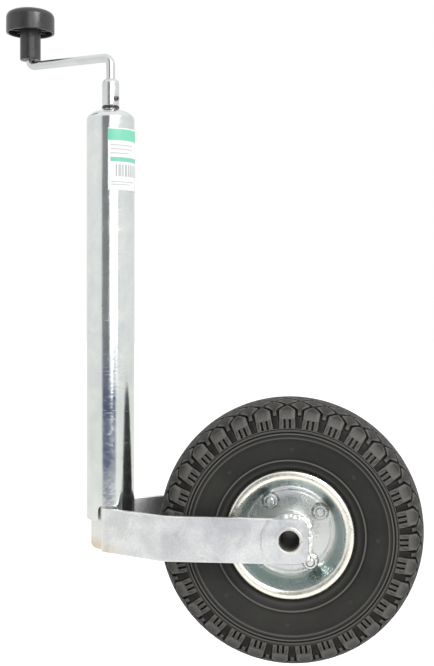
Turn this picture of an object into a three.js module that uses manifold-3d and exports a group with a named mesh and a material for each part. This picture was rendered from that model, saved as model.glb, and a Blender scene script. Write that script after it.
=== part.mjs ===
// Trailer jack wheel (jockey wheel) for a 48 mm clamp, fully wound up.
// Millimetres. +Z is up the tube, +X points from the tube to the wheel, the axle runs along Y.
// The origin is on the tube's axis, halfway along the length that a clamp can grip.
import * as THREE from 'three';
import { mergeVertices } from 'three/addons/utils/BufferGeometryUtils.js';
import Module from 'manifold-3d';

const wasm = await Module();
wasm.setup();

// ---- driving dimensions ----
const GAP = 0.3; // left between pieces that touch

const TUBE_R = 24;
const TUBE_WALL = 2.5;
const TUBE_HALF = 200; // half of the straight length
const DOME_H = 11;
const DOME_HOLE_R = 7.2;

const NOTCH_LEFT = -8.4; // lock notches in the lower end, as X limits
const NOTCH_RIGHT = 11.6;
const NOTCH_TOP = -184.3;
const NOTCH_CORNER = 6;

const INNER_R = 19.5;
const INNER_WALL = 2.5;
const INNER_TOP = 162;
const INNER_BOTTOM = -229.5;
const INNER_CORNER = 4.5;
const DRAIN_R = 7;

const SPINDLE_R = 7;
const SPINDLE_NECK_R = 6;
const SPINDLE_TOP = 225;
const SPINDLE_BOTTOM = -98;
const COLLAR_TOP = 195.5;
const COLLAR_H = 9;
const PIN_R = 2.5;

const ROD_R = 4.4;
const CRANK_THROW = 97.7;
const CRANK_TURN = THREE.MathUtils.degToRad(160.2); // direction of the crank arm about Z
const CRANK_Z = 263.3; // height of the crank arm's centre line
const SOCKET_BEND = 8; // bend radii of the rod's centre line
const KNOB_BEND = 5.6;
const SOCKET_R = 8.5;
const SOCKET_BASE = 213.8;
const SOCKET_SHOULDER = 236.5;
const SOCKET_TOP = 243.5;
const SOCKET_PIN_Z = 220.7;
const SOCKET_PIN_TURN = -38 * Math.PI / 180;

const KNOB_R = 25;
const KNOB_RIM_Z = 297.7;
const KNOB_TOP_Z = 323.2;
const KNOB_STEM_R = 10.7;
const KNOB_STEM_Z = 269.5;

const AXLE_X = 181;
const AXLE_Z = -207;
const AXLE_R = 11.3;
const AXLE_BORE_R = 9.2;
const ARM_T = 5;
const ARM_INSIDE_Y = 52;
const ARM_BEND_X = 60.5;
const ARM_END_X = 199.3;
const ARM_TOP = -186.3;
const ARM_BOTTOM = -229.3;
const ARM_START = 7; // from the foot of the perpendicular on the tube's axis to the arm's end
const ARM_CORNER = 12;

const HUB_R = 18.7;
const HUB_BORE_R = 15.5;
const HUB_HALF = 38;
const SIDE_WASHER_R = 24.5;

const SHEET_T = 2; // pressed steel of the rim halves
const DISC_FRONT_Y = -12;
const DISC_R = 42.5;
const FLANGE_Y = 35;
const FLANGE_R = 62.4;
const BOLT_CIRCLE_R = 35.2;
const BOLT_START = THREE.MathUtils.degToRad(33.6);
const BOLT_R = 4;
const HEX_R = 7.5; // across corners of a 13 mm hexagon, halved
const NUT_H = 6.5;
const BOLT_END_Y = -21.5;

const TYRE_R = 130;
const TYRE_HALF_W = 42.5;
const TYRE_TURN = 32;
const ROUND = 24;

// ---- materials ----
const finish = (color, roughness, metalness) =>
  new THREE.MeshStandardMaterial({ color, roughness, metalness });
const zinc = finish(0xc9cdca, 0.32, 0.9);
const zincDull = finish(0xc4c8c8, 0.5, 0.8);
const rimSteel = finish(0xc3cbc4, 0.35, 0.9);
const blackSteel = finish(0x2b2b2c, 0.5, 0.6);
const brightSteel = finish(0xb9bcc0, 0.28, 1);
const rubber = finish(0x3a3a38, 0.85, 0);
const plastic = finish(0x262628, 0.55, 0);
const nylon = finish(0xd8d4c8, 0.5, 0);
const paper = finish(0xf2f4f1, 0.4, 0);

// ---- solids ----
function toSolid(geometry) {
  const bare = geometry.clone();
  bare.deleteAttribute('normal');
  bare.deleteAttribute('uv');
  const merged = mergeVertices(bare, 1e-4);
  return new wasm.Manifold(
    new wasm.Mesh({
      numProp: 3,
      vertProperties: merged.getAttribute('position').array,
      triVerts: merged.index.array,
    }),
  );
}

function toGeometry(solid) {
  const mesh = solid.getMesh();
  const geometry = new THREE.BufferGeometry();
  geometry.setAttribute('position', new THREE.BufferAttribute(mesh.vertProperties, 3));
  geometry.setIndex(new THREE.BufferAttribute(mesh.triVerts, 1));
  return geometry;
}

function cut(geometry, ...tools) {
  const left = tools.reduce((solid, tool) => solid.subtract(toSolid(tool)), toSolid(geometry));
  return toGeometry(left);
}

// A closed [radius, height] profile, anticlockwise with the radius to the right, turned about Z.
function turned(profile, segments = ROUND) {
  const points = profile.map(([r, z]) => new THREE.Vector2(r, z));
  return new THREE.LatheGeometry(points, segments).rotateX(Math.PI / 2);
}

function ring(inner, outer, bottom, top, segments = ROUND) {
  return turned(
    [[inner, bottom], [outer, bottom], [outer, top], [inner, top], [inner, bottom]],
    segments,
  );
}

// The same about the wheel's axle, with the profile's height along Y.
function aboutAxle(profile, segments = ROUND) {
  const points = profile.map(([r, y]) => new THREE.Vector2(r, y));
  return new THREE.LatheGeometry(points, segments).translate(AXLE_X, 0, AXLE_Z);
}

function axleRing(inner, outer, from, to, segments = ROUND) {
  return aboutAxle(
    [[inner, from], [outer, from], [outer, to], [inner, to], [inner, from]],
    segments,
  );
}

function rodAlongX(radius, length, z, segments = 16) {
  return new THREE.CylinderGeometry(radius, radius, length, segments)
    .rotateZ(Math.PI / 2)
    .translate(0, 0, z);
}

function ellipsePoints(rx, ry, centreZ, fromR, steps) {
  const start = Math.acos(fromR / rx);
  return Array.from({ length: steps + 1 }, (_, i) => {
    const a = (start * i) / steps;
    return [rx * Math.cos(a), centreZ + ry * Math.sin(a)];
  });
}

// Two faces, half a thickness each side of a centre line, joined into one closed profile.
function sheet(line, thickness) {
  const sides = [1, -1].map((side) =>
    line.map(([r, y], i) => {
      const [ar, ay] = line[Math.max(i - 1, 0)];
      const [br, by] = line[Math.min(i + 1, line.length - 1)];
      const length = Math.hypot(br - ar, by - ay);
      const shift = (side * thickness) / 2 / length;
      return [r + shift * (by - ay), y - shift * (br - ar)];
    }),
  );
  return [...sides[0], ...sides[1].reverse(), sides[0][0]];
}

const model = new THREE.Group();

function add(name, geometry, material) {
  const mesh = new THREE.Mesh(geometry, material);
  mesh.name = name;
  model.add(mesh);
}

// ---- outer tube, with its domed top and two lock notches ----
function outerTube() {
  const bore = TUBE_R - TUBE_WALL;
  const outside = ellipsePoints(TUBE_R, DOME_H, TUBE_HALF, DOME_HOLE_R, 6);
  const inside = ellipsePoints(bore, DOME_H - TUBE_WALL, TUBE_HALF, DOME_HOLE_R, 6).reverse();
  const bottom = -TUBE_HALF;
  const shell = turned(
    [[bore, bottom], [TUBE_R, bottom], ...outside, ...inside, [bore, bottom]],
    32,
  );
  return cut(shell, notch(-1), notch(1));
}

function notch(side) {
  const shape = new THREE.Shape();
  shape.moveTo(NOTCH_LEFT, -TUBE_HALF - 10);
  shape.lineTo(NOTCH_RIGHT, -TUBE_HALF - 10);
  shape.lineTo(NOTCH_RIGHT, NOTCH_TOP - NOTCH_CORNER);
  shape.absarc(NOTCH_RIGHT - NOTCH_CORNER, NOTCH_TOP - NOTCH_CORNER, NOTCH_CORNER, 0, Math.PI / 2);
  shape.lineTo(NOTCH_LEFT + NOTCH_CORNER, NOTCH_TOP);
  shape.absarc(
    NOTCH_LEFT + NOTCH_CORNER, NOTCH_TOP - NOTCH_CORNER, NOTCH_CORNER, Math.PI / 2, Math.PI,
  );
  const depth = 20;
  return new THREE.ExtrudeGeometry(shape, { depth, bevelEnabled: false, curveSegments: 5 })
    .rotateX(Math.PI / 2)
    .translate(0, side < 0 ? -TUBE_R + depth / 2 : TUBE_R + depth / 2, 0);
}

add('outer_tube', outerTube(), zinc);

// A sticker wrapped round the tube's upper end.
const LABEL_START = THREE.MathUtils.degToRad(-85);
const LABEL_ARC = THREE.MathUtils.degToRad(119);
const LABEL_BOTTOM = 127.4;
const LABEL_TOP = 188.9;
function label() {
  const inner = TUBE_R + GAP;
  const outer = inner + 0.3;
  const shape = new THREE.Shape();
  shape.absarc(0, 0, outer, LABEL_START, LABEL_START + LABEL_ARC, false);
  shape.absarc(0, 0, inner, LABEL_START + LABEL_ARC, LABEL_START, true);
  const depth = LABEL_TOP - LABEL_BOTTOM;
  return new THREE.ExtrudeGeometry(shape, { depth, bevelEnabled: false, curveSegments: 16 })
    .translate(0, 0, LABEL_BOTTOM);
}
add('label', label(), paper);

const domeTop = TUBE_HALF + DOME_H;
add('top_washer', ring(SPINDLE_NECK_R + GAP, 8.8, domeTop + 0.5, SOCKET_BASE - GAP), plastic);
const GUIDE_R = TUBE_R - TUBE_WALL - GAP;
add('guide_ring_lower', ring(INNER_R + GAP, GUIDE_R, -178, -150), nylon);
add('race_upper', ring(SPINDLE_NECK_R + GAP, 15, 202.4, 204.9), brightSteel);

// ---- spindle, its bearing and its stops ----
function spindle() {
  const shaft = turned(
    [
      [0, SPINDLE_BOTTOM],
      [SPINDLE_R - 1.2, SPINDLE_BOTTOM],
      [SPINDLE_R, SPINDLE_BOTTOM + 1.2],
      [SPINDLE_R, COLLAR_TOP - COLLAR_H - 2],
      [SPINDLE_NECK_R, COLLAR_TOP - COLLAR_H - 1],
      [SPINDLE_NECK_R, SPINDLE_TOP],
      [0, SPINDLE_TOP],
    ],
    24,
  );
  const holeR = PIN_R + GAP;
  return cut(
    shaft,
    rodAlongX(holeR, 40, SOCKET_PIN_Z).rotateZ(SOCKET_PIN_TURN),
    rodAlongX(holeR, 40, COLLAR_TOP - COLLAR_H / 2),
    rodAlongX(holeR, 40, SPINDLE_BOTTOM + 9),
  );
}
add('spindle', spindle(), brightSteel);
add('ball_ring', ring(SPINDLE_NECK_R + 1.5, 14, 198.3, 202.1), brightSteel);
add('race_lower', ring(SPINDLE_NECK_R + GAP, 15, 195.8, 198), brightSteel);
add(
  'spindle_collar',
  cut(
    ring(SPINDLE_NECK_R + GAP, 13, COLLAR_TOP - COLLAR_H, COLLAR_TOP, 32),
    rodAlongX(PIN_R + GAP, 40, COLLAR_TOP - COLLAR_H / 2),
  ),
  blackSteel,
);
add('collar_pin', rodAlongX(PIN_R, 25, COLLAR_TOP - COLLAR_H / 2), brightSteel);
add(
  'stop_collar',
  cut(
    ring(SPINDLE_R + GAP, 12, SPINDLE_BOTTOM + 4, SPINDLE_BOTTOM + 14, 32),
    rodAlongX(PIN_R + GAP, 40, SPINDLE_BOTTOM + 9),
  ),
  blackSteel,
);
add('stop_pin', rodAlongX(PIN_R, 23, SPINDLE_BOTTOM + 9), brightSteel);
add('spindle_nut', ring(SPINDLE_R + GAP, INNER_R - INNER_WALL - GAP, 140, 160), blackSteel);

// ---- crank: socket, roll pin, bent rod ----
function crankSocket() {
  const bore = ROD_R + GAP;
  const lowBore = SPINDLE_NECK_R + GAP;
  const dome = ellipsePoints(SOCKET_R, SOCKET_TOP - SOCKET_SHOULDER, SOCKET_SHOULDER, bore, 5);
  const body = turned([
    [lowBore, SOCKET_BASE],
    [SOCKET_R, SOCKET_BASE],
    ...dome,
    [bore, SPINDLE_TOP + 1],
    [lowBore, SPINDLE_TOP + 1],
    [lowBore, SOCKET_BASE],
  ], 24);
  return cut(body, rodAlongX(PIN_R + GAP, 40, SOCKET_PIN_Z).rotateZ(SOCKET_PIN_TURN));
}
add('crank_socket', crankSocket(), zinc);
add('roll_pin', rodAlongX(PIN_R, 21, SOCKET_PIN_Z).rotateZ(SOCKET_PIN_TURN), blackSteel);

// A path that an extrusion follows from point to point, however far apart they are.
class Route extends THREE.Curve {
  constructor(points) {
    super();
    this.points = points;
  }

  getPointAt(t) {
    return this.points[Math.round(t * (this.points.length - 1))].clone();
  }

  getTangentAt(t) {
    const last = this.points.length - 1;
    const i = Math.round(t * last);
    const before = this.points[Math.max(i - 1, 0)];
    return this.points[Math.min(i + 1, last)].clone().sub(before).normalize();
  }
}

function crankRod() {
  const corner = (alongCentre, zCentre, radius, from) =>
    Array.from({ length: 7 }, (_, i) => {
      const a = from + (Math.sign(from) * -i * Math.PI) / 12;
      return [alongCentre + radius * Math.cos(a), zCentre + radius * Math.sin(a)];
    });
  const knobCentre = CRANK_THROW - KNOB_BEND;
  const line = [
    [0, SPINDLE_TOP + 2],
    ...corner(SOCKET_BEND, CRANK_Z - SOCKET_BEND, SOCKET_BEND, Math.PI),
    ...corner(knobCentre, CRANK_Z + KNOB_BEND, KNOB_BEND, -Math.PI / 2),
    [CRANK_THROW, KNOB_TOP_Z - 13],
  ];
  const route = new Route(
    line.map(([along, z]) =>
      new THREE.Vector3(along * Math.cos(CRANK_TURN), along * Math.sin(CRANK_TURN), z)),
  );
  const section = new THREE.Shape().absarc(0, 0, ROD_R, 0, 2 * Math.PI, false);
  return new THREE.ExtrudeGeometry(section, {
    steps: line.length - 1,
    curveSegments: 8,
    bevelEnabled: false,
    extrudePath: route,
  });
}
add('crank_rod', crankRod(), zinc);

// ---- knob: a stem and a hollow cap, free to turn on the rod ----
function knob() {
  const bore = ROD_R + GAP;
  const ceiling = KNOB_TOP_Z - 12;
  const shoulder = KNOB_TOP_Z - 10;
  return turned([
    [bore, KNOB_STEM_Z],
    [KNOB_STEM_R, KNOB_STEM_Z],
    [KNOB_STEM_R, ceiling - 6],
    [KNOB_R - 2.5, ceiling - 6],
    [KNOB_R - 2.5, KNOB_RIM_Z],
    [KNOB_R, KNOB_RIM_Z],
    [KNOB_R, shoulder],
    [KNOB_R - 1.4, shoulder + 3.5],
    [KNOB_R - 5, shoulder + 6.4],
    [KNOB_R - 14, shoulder + 9.2],
    [0, KNOB_TOP_Z],
    [0, ceiling + 2],
    [bore, ceiling + 2],
    [bore, KNOB_STEM_Z],
  ]).translate(CRANK_THROW * Math.cos(CRANK_TURN), CRANK_THROW * Math.sin(CRANK_TURN), 0);
}
add('knob', knob(), plastic);

// ---- leg: inner tube, its guide and the fork ----
function innerTube() {
  const bore = INNER_R - INNER_WALL;
  const foot = (radius) =>
    Array.from({ length: 5 }, (_, i) => {
      const a = ((i - 4) * Math.PI) / 8;
      return [
        INNER_R - INNER_CORNER + radius * Math.cos(a),
        INNER_BOTTOM + INNER_CORNER + radius * Math.sin(a),
      ];
    });
  return turned([
    [DRAIN_R, INNER_BOTTOM],
    ...foot(INNER_CORNER),
    [INNER_R, INNER_TOP],
    [bore, INNER_TOP],
    ...foot(INNER_CORNER - INNER_WALL).reverse(),
    [DRAIN_R, INNER_BOTTOM + INNER_WALL],
    [DRAIN_R, INNER_BOTTOM],
  ]);
}
add('inner_tube', innerTube(), zincDull);
add('guide_ring_upper', ring(INNER_R + GAP, GUIDE_R, 130, 160), nylon);

// A flat bar that runs off the inner tube as a tangent, then bends to lie along the wheel.
function forkArm(side) {
  const near = INNER_R + GAP; // from the tube's axis to the bar's inner face
  const outerY = ARM_INSIDE_Y + ARM_T;
  const far = near + ARM_T;
  const reach = Math.hypot(ARM_BEND_X, outerY);
  const splay = Math.acos(far / reach) - Math.atan2(ARM_BEND_X, outerY);
  const along = new THREE.Vector2(Math.cos(splay), Math.sin(splay));
  const outward = new THREE.Vector2(-Math.sin(splay), Math.cos(splay));
  const corner = (distance) =>
    outward.clone().multiplyScalar(distance).addScaledVector(along, ARM_START);
  const innerBendX = ARM_BEND_X + ARM_T * Math.tan(splay / 2);
  const plan = new THREE.Shape([
    corner(near),
    new THREE.Vector2(innerBendX, ARM_INSIDE_Y),
    new THREE.Vector2(ARM_END_X, ARM_INSIDE_Y),
    new THREE.Vector2(ARM_END_X, outerY),
    new THREE.Vector2(ARM_BEND_X, outerY),
    corner(far),
  ]);
  const depth = ARM_TOP - ARM_BOTTOM;
  const bar = new THREE.ExtrudeGeometry(plan, { depth, bevelEnabled: false });
  bar.translate(0, 0, ARM_BOTTOM);
  const sideView = barOutline(-30, ARM_END_X, ARM_BOTTOM, ARM_TOP, ARM_CORNER);
  const slab = new THREE.ExtrudeGeometry(sideView, {
    depth: 120,
    bevelEnabled: false,
    curveSegments: 8,
  });
  slab.rotateX(Math.PI / 2).translate(0, 110, 0);
  const hole = new THREE.CylinderGeometry(AXLE_R + GAP, AXLE_R + GAP, 120, 32);
  hole.translate(AXLE_X, 60, AXLE_Z);
  const arm = toSolid(bar).intersect(toSolid(slab)).subtract(toSolid(hole));
  return toGeometry(side > 0 ? arm : arm.mirror([0, 1, 0]));
}

// A bar seen from the side, rounded at its far end.
function barOutline(left, right, bottom, top, radius) {
  const shape = new THREE.Shape();
  shape.moveTo(left, bottom);
  shape.lineTo(right - radius, bottom);
  shape.absarc(right - radius, bottom + radius, radius, -Math.PI / 2, 0, false);
  shape.absarc(right - radius, top - radius, radius, 0, Math.PI / 2, false);
  shape.lineTo(left, top);
  return shape;
}
add('fork_arm_front', forkArm(-1), zincDull);
add('fork_arm_rear', forkArm(1), zincDull);

// A hollow axle whose ends are flared over the arms.
function axleTube() {
  const half = ARM_INSIDE_Y + ARM_T + GAP;
  const lip = AXLE_R + 2;
  const end = half + 1.6;
  return aboutAxle([
    [AXLE_BORE_R, -end],
    [lip, -end],
    [lip, -half],
    [AXLE_R, -half],
    [AXLE_R, half],
    [lip, half],
    [lip, end],
    [AXLE_BORE_R, end],
    [AXLE_BORE_R, -end],
  ], 32);
}
add('axle_tube', axleTube(), zincDull);
for (const [end, side] of [['front', -1], ['rear', 1]]) {
  const span = (a, b) => (side > 0 ? [a, b] : [-b, -a]);
  const bore = AXLE_R + GAP;
  const washerInside = ARM_INSIDE_Y - GAP - 3;
  add(
    `side_washer_${end}`,
    axleRing(bore, SIDE_WASHER_R, ...span(washerInside, ARM_INSIDE_Y - GAP)),
    zincDull,
  );
  add(`spacer_${end}`, axleRing(bore, 15, ...span(HUB_HALF + 2.6, washerInside - GAP), 32), nylon);
}

// ---- wheel: hub, bushes, rim halves, bolts, tyre, air tube, valve ----
add('hub_barrel', axleRing(HUB_BORE_R, HUB_R, -HUB_HALF, HUB_HALF), zincDull);
for (const [end, side] of [['front', -1], ['rear', 1]]) {
  const bore = AXLE_R + GAP;
  const sleeve = HUB_BORE_R - GAP;
  const flange = HUB_HALF + GAP;
  const profile = [
    [bore, HUB_HALF - 20],
    [sleeve, HUB_HALF - 20],
    [sleeve, flange],
    [HUB_R - 1, flange],
    [HUB_R - 1, flange + 2],
    [bore, flange + 2],
    [bore, HUB_HALF - 20],
  ];
  const turnedBush = side > 0 ? profile : profile.map(([r, y]) => [r, -y]).reverse();
  add(`bush_${end}`, aboutAxle(turnedBush, 32), nylon);
}

function boltAngle(i) {
  return BOLT_START + (i * Math.PI) / 2;
}

function acrossDisc(geometry, i) {
  const a = boltAngle(i);
  return geometry.translate(
    AXLE_X + BOLT_CIRCLE_R * Math.cos(a), 0, AXLE_Z + BOLT_CIRCLE_R * Math.sin(a),
  );
}

function boltHole(i) {
  return acrossDisc(new THREE.CylinderGeometry(BOLT_R + GAP, BOLT_R + GAP, 60, 16), i);
}

// The line that one rim half follows, from its centre hole out to its rolled flange.
function rimLine(discY, flangeY) {
  const way = Math.sign(flangeY - discY);
  const at = (fraction) => discY + (flangeY - discY) * fraction;
  return [
    [HUB_R + GAP, discY],
    [DISC_R, discY],
    [DISC_R + 2.2, discY + way * 0.8],
    [DISC_R + 3.5, discY + way * 3],
    [51, at(0.62)],
    [52.2, at(0.8)],
    [54, at(0.94)],
    [57.3, flangeY],
    [60.6, flangeY - way * 0.8],
    [FLANGE_R - SHEET_T / 2, flangeY - way * 3.2],
  ];
}

function rimHalf(discY, flangeY, ...holes) {
  const pressed = aboutAxle(sheet(rimLine(discY, flangeY), SHEET_T), 32);
  return cut(pressed, ...[0, 1, 2, 3].map(boltHole), ...holes);
}

const frontDiscY = DISC_FRONT_Y + SHEET_T / 2;
const rearDiscY = frontDiscY + SHEET_T + GAP;
const edge = FLANGE_Y - SHEET_T / 2;
const VALVE_Y = 14;
function valvePiece(radius, from, to, segments = 16) {
  return new THREE.CylinderGeometry(radius, radius, to - from, segments)
    .rotateX(Math.PI / 2)
    .translate(AXLE_X, VALVE_Y, AXLE_Z + (from + to) / 2);
}
add('rim_front', rimHalf(frontDiscY, -edge), rimSteel);
add('rim_rear', rimHalf(rearDiscY, edge, valvePiece(4.8, 30, 70)), rimSteel);

const headY = rearDiscY + SHEET_T / 2 + GAP;
for (let i = 0; i < 4; i += 1) {
  const shankTop = headY + 0.5;
  const shank = new THREE.CylinderGeometry(BOLT_R, BOLT_R, shankTop - BOLT_END_Y, 16)
    .translate(0, (shankTop + BOLT_END_Y) / 2, 0);
  const head = new THREE.CylinderGeometry(HEX_R, HEX_R, 5.3, 6).translate(0, headY + 2.65, 0);
  const bolt = toGeometry(toSolid(shank).add(toSolid(head)));
  add(`rim_bolt_${i + 1}`, acrossDisc(bolt, i), brightSteel);
  const nutBack = DISC_FRONT_Y - GAP;
  const nut = cut(
    new THREE.CylinderGeometry(HEX_R, HEX_R, NUT_H, 6),
    new THREE.CylinderGeometry(BOLT_R + GAP, BOLT_R + GAP, 20, 20),
  ).translate(0, nutBack - NUT_H / 2, 0);
  add(`rim_nut_${i + 1}`, acrossDisc(nut, i), brightSteel);
}

// Half of a tyre section, from the bead to the middle of the tread, as [radius, Y].
const TYRE_OUTSIDE = [
  [53.6, 19],
  [54.4, 29],
  [62, 30.2],
  [65.5, 33],
  [76, 39],
  [92, TYRE_HALF_W],
  [106, 41.4],
  [117, 37],
  [124.5, 28],
  [128.6, 15],
];
const TYRE_INSIDE = [
  [60, 21],
  [70, 32],
  [85, 37.5],
  [101, 36.5],
  [113, 29],
  [119.5, 15],
];
function tyre() {
  const mirrored = (points) => points.map(([r, y]) => [r, -y]);
  const outside = [...mirrored(TYRE_OUTSIDE), [TYRE_R, 0], ...TYRE_OUTSIDE.slice().reverse()];
  const inside = [...TYRE_INSIDE, [121.5, 0], ...mirrored(TYRE_INSIDE).reverse()];
  return aboutAxle([...outside, ...inside, outside[0]], TYRE_TURN);
}
add('tyre', tyre(), rubber);

// The inflated tube fills the tyre; its wall is slit on the rim side, where it is not seen.
function airTube() {
  const middle = 89;
  const slit = 0.06;
  const steps = 12;
  const line = Array.from({ length: steps + 1 }, (_, i) => {
    const a = Math.PI + slit + ((2 * Math.PI - 2 * slit) * i) / steps;
    return [middle + 28 * Math.cos(a), 31 * Math.sin(a)];
  });
  return aboutAxle(sheet(line, 2), 20);
}
add('air_tube', airTube(), rubber);

add('valve_stem', valvePiece(4.3, 38, 58.6), rubber);
add('valve_cap', valvePiece(4.6, 28, 37.7, 12), plastic);

export default model;
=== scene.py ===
"""Looks of the trailer jack wheel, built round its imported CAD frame.

Sizes are in millimetres until to_mesh() puts a shape into the scene, in metres.
The tube stands on Z. The wheel turns about Y.
"""

import math
from math import cos, pi, radians, sin

import bmesh
import bpy
import numpy as np
from mathutils import Matrix, Vector
from mathutils.noise import noise


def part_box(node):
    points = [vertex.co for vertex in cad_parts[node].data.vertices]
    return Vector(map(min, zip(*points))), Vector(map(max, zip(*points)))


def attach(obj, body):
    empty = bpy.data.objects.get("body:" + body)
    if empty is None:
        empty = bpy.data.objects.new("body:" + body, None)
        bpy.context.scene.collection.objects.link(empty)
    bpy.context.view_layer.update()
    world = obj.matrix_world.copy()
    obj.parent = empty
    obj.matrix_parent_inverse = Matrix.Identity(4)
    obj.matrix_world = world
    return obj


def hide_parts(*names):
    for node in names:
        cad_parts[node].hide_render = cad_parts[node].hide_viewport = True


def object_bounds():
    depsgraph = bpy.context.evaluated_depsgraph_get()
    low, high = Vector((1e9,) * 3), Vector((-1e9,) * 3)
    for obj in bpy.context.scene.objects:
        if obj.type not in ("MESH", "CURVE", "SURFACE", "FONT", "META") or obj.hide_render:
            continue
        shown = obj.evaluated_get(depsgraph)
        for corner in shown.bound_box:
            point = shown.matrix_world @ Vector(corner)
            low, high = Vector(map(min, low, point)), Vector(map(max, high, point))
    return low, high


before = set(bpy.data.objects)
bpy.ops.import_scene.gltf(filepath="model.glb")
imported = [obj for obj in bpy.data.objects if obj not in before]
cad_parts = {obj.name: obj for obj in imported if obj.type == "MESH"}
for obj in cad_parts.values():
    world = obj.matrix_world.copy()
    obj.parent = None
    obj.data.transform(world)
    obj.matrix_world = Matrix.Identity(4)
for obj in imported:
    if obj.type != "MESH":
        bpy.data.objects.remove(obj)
cad_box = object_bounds()


def corners(node):
    """A CAD node's lowest and highest corners in millimetres."""
    low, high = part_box(node)
    return low * 1000, high * 1000


BOLT_CIRCLE = 35.2
BOLT_START = radians(33.6)
AXLE = sum(corners("axle_tube"), Vector()) / 2
AXLE.y = 0


# ---- shapes ----
def filleted(points, radius=0.5, steps=3, closed=True):
    """A polygon with its corners rounded. A point may give its own radius as a third number."""
    count = len(points)
    smooth = []
    for i, (a, b, *own) in enumerate(points):
        here = Vector((a, b))
        reach = own[0] if own else radius
        if reach == 0 or (not closed and i in (0, count - 1)):
            smooth.append((a, b))
            continue
        before = Vector(points[i - 1][:2]) - here
        after = Vector(points[(i + 1) % count][:2]) - here
        if before.length < 1e-6 or after.length < 1e-6:
            smooth.append((a, b))
            continue
        start = here + before.normalized() * min(reach, before.length * 0.45)
        end = here + after.normalized() * min(reach, after.length * 0.45)
        for k in range(steps + 1):
            t = k / steps
            point = start * (1 - t) ** 2 + here * (2 * t * (1 - t)) + end * t * t
            smooth.append((point.x, point.y))
    return smooth


def turn_point(r, h, a, about):
    """A point at radius r and height h along an axis, turned by the angle a."""
    if about == "Z":
        return Vector((r * cos(a), r * sin(a), h))
    if about == "Y":
        return Vector((r * cos(a), h, r * sin(a)))
    return Vector((h, r * cos(a), r * sin(a)))


def ring_of_points(shape, r, h, segments, centre=(0, 0, 0), about="Z"):
    """Points round an axis. The radius may be a function of the angle. At radius 0 it is a pole."""
    centre = Vector(centre)
    if not callable(r) and r < 1e-6:
        return [shape.verts.new(centre + turn_point(0, h, 0, about))] * segments
    ring = []
    for k in range(segments):
        a = 2 * pi * k / segments
        reach = r(a) if callable(r) else r
        ring.append(shape.verts.new(centre + turn_point(reach, h, a, about)))
    return ring


def turned(profile, centre=(0, 0, 0), about="Z", segments=96):
    """A closed [radius, height] profile turned about an axis."""
    shape = bmesh.new()
    rings = [ring_of_points(shape, r, h, segments, centre, about) for r, h in profile]
    join_rows(shape, rings, looped=True)
    return facing_out(shape)


def join_rings(shape, lower, upper, closed=True):
    """Quads between two rows of points, with triangles where a row has shrunk to one point."""
    count = len(lower)
    for k in range(count if closed else count - 1):
        n = (k + 1) % count
        around = list(dict.fromkeys((lower[k], lower[n], upper[n], upper[k])))
        if len(around) > 2:
            shape.faces.new(around)


def join_rows(shape, rows, looped=False, closed=True):
    """Quads from each row to the next, and from the last to the first if looped."""
    following = rows[1:] + rows[:1] if looped else rows[1:]
    for lower, upper in zip(rows, following):
        join_rings(shape, lower, upper, closed)


def facing_out(shape):
    bmesh.ops.recalc_face_normals(shape, faces=shape.faces)
    return shape


def ring_profile(inner, outer, low, high, edge=0.4):
    """The section of a plain ring, its edges rounded."""
    return filleted([(inner, low), (outer, low), (outer, high), (inner, high)], edge)


def sheet_profile(line, thickness):
    """Two faces, half a thickness each side of a line, joined into one closed profile."""
    sides = []
    for side in (1, -1):
        row = []
        for i, (r, h) in enumerate(line):
            ar, ah = line[max(i - 1, 0)]
            br, bh = line[min(i + 1, len(line) - 1)]
            length = math.hypot(br - ar, bh - ah)
            shift = side * thickness / 2 / length
            row.append((r + shift * (bh - ah), h - shift * (br - ar)))
        sides.append(row)
    return sides[0] + sides[1][::-1]


def swept(path, radius, segments=24, close_up=0.3):
    """A round bar along a path. The radius may be a function of the distance along it."""
    shape = bmesh.new()
    path = [Vector(p) for p in path]
    side = None
    walked = 0
    rings = []
    for i, point in enumerate(path):
        heading = (path[min(i + 1, len(path) - 1)] - path[max(i - 1, 0)]).normalized()
        if side is None:
            side = heading.orthogonal().normalized()
        side = (side - heading * side.dot(heading)).normalized()
        other = heading.cross(side)
        if i:
            walked += (point - path[i - 1]).length
        ring = []
        for k in range(segments):
            a = 2 * pi * k / segments
            r = radius(walked, a) if callable(radius) else radius
            ring.append(shape.verts.new(point + side * (r * cos(a)) + other * (r * sin(a))))
        rings.append(ring)
    join_rows(shape, rings)
    for ring, point, inward in ((rings[0], path[0], path[1]), (rings[-1], path[-1], path[-2])):
        tip = shape.verts.new(point + (point - inward).normalized() * close_up)
        join_rings(shape, ring, [tip] * segments)
    return facing_out(shape)


def spaced(points, step):
    """The same path with points a step apart."""
    points = [Vector(p) for p in points]
    fine = [points[0]]
    for a, b in zip(points, points[1:]):
        count = max(1, round((b - a).length / step))
        fine += [a.lerp(b, (k + 1) / count) for k in range(count)]
    return fine


def merged(*shapes):
    """The first shape with the others added to it. The others are used up."""
    whole = shapes[0]
    for shape in shapes[1:]:
        spare = bpy.data.meshes.new("spare")
        shape.to_mesh(spare)
        shape.free()
        whole.from_mesh(spare)
        bpy.data.meshes.remove(spare)
    return whole


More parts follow.
